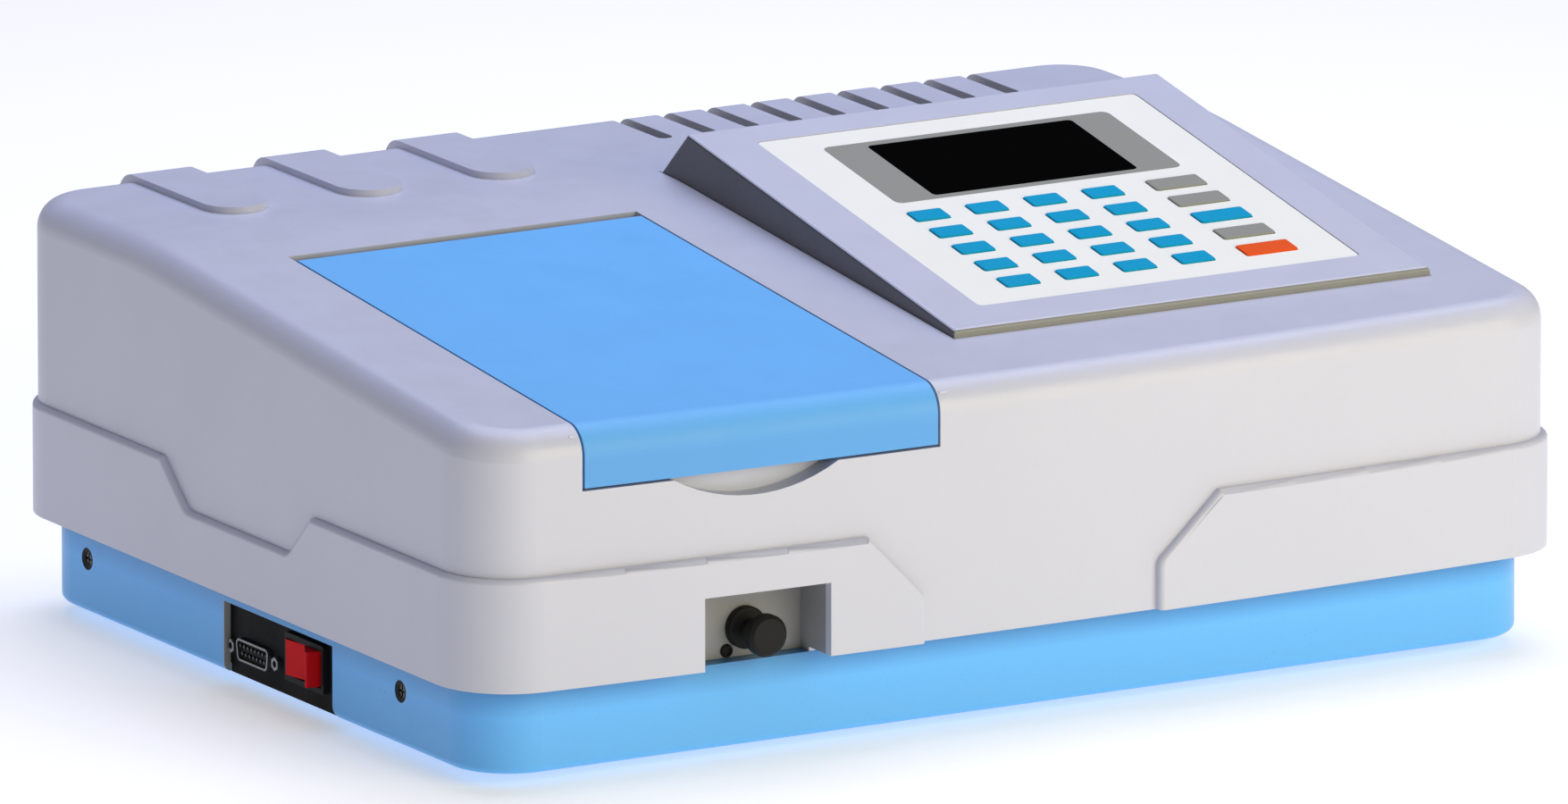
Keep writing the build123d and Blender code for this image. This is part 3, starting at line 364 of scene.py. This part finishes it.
FINISHES = {
    # painted shade on the console's front lip and in the rod pocket
    "cover_plastic": lambda n: moulded(n, COVER, 0.36, zones=(CONSOLE_CHEEK, CONSOLE_LIP_PAINTED_SHADE, POCKET_PAINTED_SHADE)),
    # painted shadow at the top of the tray, fading into its own blue between 37 mm and 26 mm, and
    # painted light and shade on the notch's cut edge
    "base_blue": lambda n: moulded(n, TRAY_PAINTED_SHADOW, 0.34, zones=(CUT_EDGE_PAINTED_LIGHT,), specular=0.35, height_shade=TRAY_SHADOW_FADE),
    # painted shade on the lid's front flap
    "lid_blue": lambda n: moulded(n, LID, 0.46, 2600.0, specular=0.25, height_shade=LID_FRONT_PAINTED_SHADE),
    "overlay_white": lambda n: printed_sheet(n, (1.0, 0.98, 0.85)),
    "key_blue": lambda n: moulded(n, (0.001, 0.36, 0.60), 0.6, 3000.0, 0.015, specular=0.08),
    "key_grey": lambda n: moulded(n, (0.325, 0.32, 0.270), 0.55, 3000.0, 0.015, specular=0.15),
    "key_orange": lambda n: moulded(n, (0.92, 0.105, 0.012), 0.6, 3000.0, 0.015, specular=0.08),
    "display_black": lambda n: polished_window(n, (0.0012, 0.0012, 0.0014)),
    "knob_black": lambda n: moulded(n, (0.014, 0.014, 0.014), 0.5, 3000.0, 0.02, specular=0.13),
    "dark_plastic": lambda n: moulded(n, (0.004, 0.004, 0.004), 0.55, 3000.0, 0.02, specular=0.1),
    "chamber_black": lambda n: moulded(n, (0.012, 0.012, 0.012), 0.8, 1800.0, 0.05, specular=0.2),
    "foot_rubber": lambda n: moulded(n, (0.02, 0.02, 0.02), 0.75, 1400.0, 0.05, specular=0.25),
    "rocker_red": lambda n: moulded(n, (0.68, 0.005, 0.010), 0.34, 1800.0, 0.006, specular=0.08),
    "board_green": lambda n: moulded(n, (0.01, 0.14, 0.05), 0.4, 500.0, 0.03, shade=0.3),
    "carriage_black": lambda n: metal(n, (0.030, 0.030, 0.033), 0.42, 0.6, (1, 0.1, 1)),
    "screw_steel": lambda n: metal(n, (0.10, 0.097, 0.095), 0.35, 1.0),
    "pin_steel": lambda n: metal(n, (0.62, 0.62, 0.63), 0.25, 1.0, (1, 0.08, 1)),
    "connector_metal": lambda n: metal(n, (0.27, 0.27, 0.28), 0.38, 1.0),
    "bench_metal": lambda n: metal(n, (0.55, 0.56, 0.58), 0.4, 1.0, (0.1, 1, 1)),
    "black_metal": lambda n: metal(n, (0.03, 0.03, 0.03), 0.45, 0.5, (0.1, 1, 1)),
    "motor_metal": lambda n: metal(n, (0.38, 0.39, 0.41), 0.35, 1.0, (0.1, 1, 1)),
    "nut_brass": lambda n: metal(n, (0.75, 0.55, 0.25), 0.3, 1.0, (1, 0.1, 1)),
    "mirror_glass": lambda n: metal(n, (0.9, 0.9, 0.92), 0.05, 1.0),
    "lamp_glass": lambda n: clear_glass(n, (0.92, 0.94, 0.95)),
}
MADE = {}


def finish_of(slot):
    """One material for each slot, made when it is first wanted."""
    if slot not in MADE:
        MADE[slot] = FINISHES[slot](slot)
    return MADE[slot]


def finish_cad_nodes():
    """Give every node of the frame the finish of its material slot."""
    for part in frame["record"]["subparts"]:
        piece = NODES[part["node"]]
        piece.data.materials.clear()
        piece.data.materials.append(finish_of(part["material_slot"]))


# ------------------------------------------------------------------ modelling by operator
SMOOTH_ANGLE = math.radians(32.0)
BEVEL_ANGLE = math.radians(40)
STRAIGHT_ON = 0.9             # how far a face must look along an axis to count as facing it


def begin(name, kind, **where):
    """Add a primitive, put its place into its mesh and open it for editing."""
    bpy.ops.object.select_all(action="DESELECT")
    getattr(bpy.ops.mesh, f"primitive_{kind}_add")(**where)
    piece = bpy.context.object
    piece.name = name
    piece.data.name = name
    bpy.ops.object.transform_apply(location=True, rotation=True, scale=True)
    bpy.ops.object.mode_set(mode="EDIT")
    return piece


def pick(piece, kind, test):
    """Select only the faces or edges whose middle (in mm) and normal pass a test."""
    bpy.ops.mesh.select_mode(type=kind)
    bpy.ops.mesh.select_all(action="DESELECT")
    mesh = bmesh.from_edit_mesh(piece.data)
    mesh.normal_update()
    if kind == "FACE":
        for face in mesh.faces:
            face.select_set(test(face.calc_center_median() / MM, face.normal))
    else:
        for edge in mesh.edges:
            middle = (edge.verts[0].co + edge.verts[1].co) / 2 / MM
            along = (edge.verts[1].co - edge.verts[0].co).normalized()
            edge.select_set(test(middle, along))
    bmesh.update_edit_mesh(piece.data)


def pull(value):
    """Extrude what is selected by a distance in mm."""
    bpy.ops.mesh.extrude_region_move(TRANSFORM_OT_translate={"value": tuple(v * MM for v in value)})


def complete(piece, body, slot, bevel=0.0):
    """Close editing, soften the edges, and say what the piece rides on and is made of."""
    bpy.ops.object.mode_set(mode="OBJECT")
    if bevel:
        edge = piece.modifiers.new("soft_edges", "BEVEL")
        edge.width = bevel * MM
        edge.segments = 2
        edge.limit_method = "ANGLE"
        edge.angle_limit = BEVEL_ANGLE
        bpy.ops.object.modifier_apply(modifier=edge.name)
    bpy.ops.object.shade_smooth_by_angle(angle=SMOOTH_ANGLE)
    piece.data.materials.clear()
    piece.data.materials.append(finish_of(slot))
    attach(piece, body)
    piece.select_set(False)
    return piece


def put_on_console(piece):
    """Move a piece that was modelled flat to the console's sloped face."""
    bpy.ops.object.mode_set(mode="OBJECT")
    piece.rotation_euler = (CONSOLE_TILT, 0, 0)
    piece.location = Vector((CONSOLE_LEFT, CONSOLE_FRONT_Y, CONSOLE_FRONT_Z)) * MM
    bpy.ops.object.transform_apply(location=True, rotation=True, scale=True)


def display_surround():
    """Grey printed panel behind and round the display window."""
    left, right, low, high = (v * MM for v in SURROUND_EDGES)
    middle = ((left + right) / 2, (low + high) / 2, (SHEET_FACE - SURROUND_SINK) * MM)
    piece = begin("display_surround", "plane", size=1.0, location=middle)
    bpy.ops.transform.resize(value=(right - left, high - low, 1), center_override=middle)
    bpy.ops.mesh.bevel(offset=SURROUND_CORNER * MM, segments=8, affect="VERTICES")
    pick(piece, "FACE", lambda at, facing: True)
    pull((0, 0, SURROUND_THICK))
    bpy.ops.mesh.select_all(action="SELECT")
    bpy.ops.mesh.normals_make_consistent(inside=False)
    put_on_console(piece)
    complete(piece, "case", "key_grey")


def screw_cup(name, side, y):
    """Stepped cup in a side wall: an outer rim, a slope down to a smaller hole, and a wall behind it."""
    outward = Vector((side, 0, 0))
    place = tuple(v * MM for v in (side * (TRAY_SIDE_X - 0.5), y, SCREW_Z))
    piece = begin(name, "cylinder", vertices=48, radius=CUP_OUTER_R * MM, depth=CUP_DEPTH * MM,
                  location=place, rotation=(0, side * math.pi / 2, 0))
    pick(piece, "FACE", lambda at, facing: facing.dot(outward) > STRAIGHT_ON)
    bpy.ops.mesh.inset(thickness=CUP_RIM * MM)
    bpy.ops.mesh.inset(thickness=(CUP_OUTER_R - CUP_INNER_R - CUP_RIM) * MM)
    bpy.ops.transform.translate(value=tuple(-outward * CUP_DEPTH * 0.7 * MM))
    bpy.ops.mesh.inset(thickness=0.25 * MM)
    bpy.ops.mesh.delete(type="FACE")
    pick(piece, "FACE", lambda at, facing: facing.dot(outward) < -STRAIGHT_ON)
    bpy.ops.mesh.inset(thickness=(CUP_OUTER_R - CUP_INNER_R - 0.1 + 0.25) * MM)
    bpy.ops.mesh.delete(type="FACE")
    bpy.ops.mesh.select_mode(type="EDGE")
    bpy.ops.mesh.select_all(action="DESELECT")
    bpy.ops.mesh.select_non_manifold()
    bpy.ops.mesh.bridge_edge_loops()
    bpy.ops.mesh.select_all(action="SELECT")
    bpy.ops.mesh.normals_make_consistent(inside=False)
    # painted shade in part: the cup's black stands in for the shade down in the sunk hole
    complete(piece, "case", "knob_black", bevel=0.06)


def screw_cups():
    """Black cups that line the sunk holes of the side screws; their black is partly painted shade for
    the depth of the holes.
    """
    count = 0
    for side in (-1, 1):
        for y in SCREW_YS:
            count += 1
            screw_cup(f"screw_cup_{count}", side, y)


def button_screw(name, middle, facing, radius, height, slot="screw_steel"):
    """Button-head screw with a round sunk socket; facing is an axis name with its sign."""
    direction = {"-Y": Vector((0, -1, 0)), "+Y": Vector((0, 1, 0)), "-Z": Vector((0, 0, -1))}[facing]
    turn = direction.to_track_quat("Z", "Y").to_euler()
    place = tuple((Vector(middle) + direction * height / 2) * MM)
    piece = begin(name, "cylinder", vertices=30, radius=radius * MM, depth=height * MM, location=place,
                  rotation=tuple(turn))
    pick(piece, "FACE", lambda at, normal: normal.dot(direction) > STRAIGHT_ON)
    bpy.ops.mesh.bevel(offset=height * 0.55 * MM, segments=4, affect="EDGES")
    pick(piece, "FACE", lambda at, normal: normal.dot(direction) > 0.999)
    bpy.ops.mesh.inset(thickness=radius * 0.12 * MM)
    bpy.ops.mesh.inset(thickness=radius * 0.05 * MM)
    bpy.ops.transform.translate(value=tuple(-direction * height * 0.6 * MM))
    complete(piece, "case", slot)


def connector_insulator():
    """Black body inside the connector's shell, round its contacts."""
    middle = ((PANEL_X + 0.3) * MM, DSUB_Y * MM, DSUB_Z * MM)
    piece = begin("connector_insulator", "cube", size=1.0, location=middle)
    size = (INSULATOR_DEPTH * MM, INSULATOR_TOP_W * MM, INSULATOR_H * MM)
    bpy.ops.transform.resize(value=size, center_override=middle)
    pick(piece, "FACE", lambda at, facing: facing.z < -STRAIGHT_ON)
    bpy.ops.transform.resize(value=(1, INSULATOR_LOW_W / INSULATOR_TOP_W, 1), center_override=middle)
    pick(piece, "EDGE", lambda at, along: abs(along.x) > STRAIGHT_ON)
    bpy.ops.mesh.bevel(offset=1.4 * MM, segments=5, affect="EDGES")
    pick(piece, "FACE", lambda at, facing: facing.x < -STRAIGHT_ON)
    bpy.ops.mesh.inset(thickness=0.5 * MM)
    bpy.ops.transform.translate(value=(0.25 * MM, 0, 0))
    complete(piece, "case", "knob_black")


def contact_sockets():
    """Fifteen small round contacts in two rows."""
    count = 0
    for contacts, z in DSUB_ROWS:
        for n in range(contacts):
            count += 1
            y = DSUB_Y + (n - (contacts - 1) / 2) * DSUB_PITCH
            place = ((PANEL_X - 1.0) * MM, y * MM, (DSUB_Z + z) * MM)
            piece = begin(f"contact_{count:02d}", "cylinder", vertices=16, radius=0.72 * MM,
                          depth=0.7 * MM, location=place, rotation=(0, math.pi / 2, 0))
            pick(piece, "FACE", lambda at, facing: facing.x < -STRAIGHT_ON)
            bpy.ops.mesh.inset(thickness=0.18 * MM)
            bpy.ops.transform.translate(value=(0.12 * MM, 0, 0))
            complete(piece, "case", "screw_steel")


def thin_plate(name, middle, size, facing, corner, slot, step=0.0):
    """Flat plate with round corners and a stepped border, standing on a wall or under the floor."""
    direction = {"+Y": Vector((0, 1, 0)), "-Z": Vector((0, 0, -1))}[facing]
    turn = {"+Y": (-math.pi / 2, 0, 0), "-Z": (math.pi, 0, 0)}[facing]
    width, height, thick = size
    place = tuple(v * MM for v in middle)
    piece = begin(name, "plane", size=1.0, location=place, rotation=turn)
    scale = (width, 1 / MM, height) if facing == "+Y" else (width, height, 1 / MM)
    bpy.ops.transform.resize(value=tuple(v * MM for v in scale), center_override=place)
    bpy.ops.mesh.bevel(offset=corner * MM, segments=6, affect="VERTICES")
    pick(piece, "FACE", lambda at, normal: True)
    pull(direction * thick)
    pick(piece, "FACE", lambda at, normal: normal.dot(direction) > STRAIGHT_ON)
    if step:
        bpy.ops.mesh.inset(thickness=step * MM)
        bpy.ops.mesh.inset(thickness=0.3 * MM)
        bpy.ops.transform.translate(value=tuple(-direction * thick * 0.5 * MM))
    bpy.ops.mesh.select_all(action="SELECT")
    bpy.ops.mesh.normals_make_consistent(inside=False)
    complete(piece, "case", slot, bevel=min(0.12, thick * 0.3))


def rear_and_underside():
    """Blank rating plate, rear screws, service cover under the tray."""
    thin_plate("rating_plate", (PLATE_X, TRAY_BACK_Y - 0.05, PLATE_Z), (62, 20, 0.5), "+Y", 2.5,
               "motor_metal", 1.8)
    for count, x in enumerate((PLATE_X - RIVET_REACH, PLATE_X + RIVET_REACH), 1):
        place = (x, TRAY_BACK_Y + 0.2, PLATE_Z)
        button_screw(f"plate_rivet_{count}", place, "+Y", 1.3, 0.7, "pin_steel")
    for count, x in enumerate(REAR_SCREW_XS, 1):
        button_screw(f"rear_screw_{count}", (x, REAR_SCREW_Y, REAR_SCREW_Z), "+Y", 3.4, 1.7)
    thin_plate("service_cover", (SERVICE_X, SERVICE_Y, SERVICE_Z), (150, 120, 0.9), "-Z", 6.0,
               "base_blue", 4.0)
    count = 0
    for x in (SERVICE_X - SERVICE_REACH_X, SERVICE_X + SERVICE_REACH_X):
        for y in (SERVICE_Y - SERVICE_REACH_Y, SERVICE_Y + SERVICE_REACH_Y):
            count += 1
            button_screw(f"service_screw_{count}", (x, y, SERVICE_SCREW_Z), "-Z", 3.0, 1.5)


def inlet_contacts():
    """Bright blades of the mains inlet, over its plain ones."""
    for count, (x, z) in enumerate(INLET_BLADES, 1):
        middle = Vector((INLET_X + x, TRAY_BACK_Y - 11.0, INLET_Z + z)) * MM
        piece = begin(f"inlet_blade_{count}", "cube", size=1.0, location=middle)
        bpy.ops.transform.resize(value=tuple(v * MM for v in BLADE_SIZE), center_override=middle)
        pick(piece, "FACE", lambda at, facing: facing.y > STRAIGHT_ON)
        bpy.ops.transform.resize(value=(0.75, 1, 0.82), center_override=middle)
        complete(piece, "case", "pin_steel", bevel=0.2)


make_camera()
make_studio()
finish_cad_nodes()
display_surround()
screw_cups()
button_screw("lock_screw", LOCK_SCREW, "-Y", 2.5, 1.2, "knob_black")
connector_insulator()
contact_sockets()
rear_and_underside()
inlet_contacts()
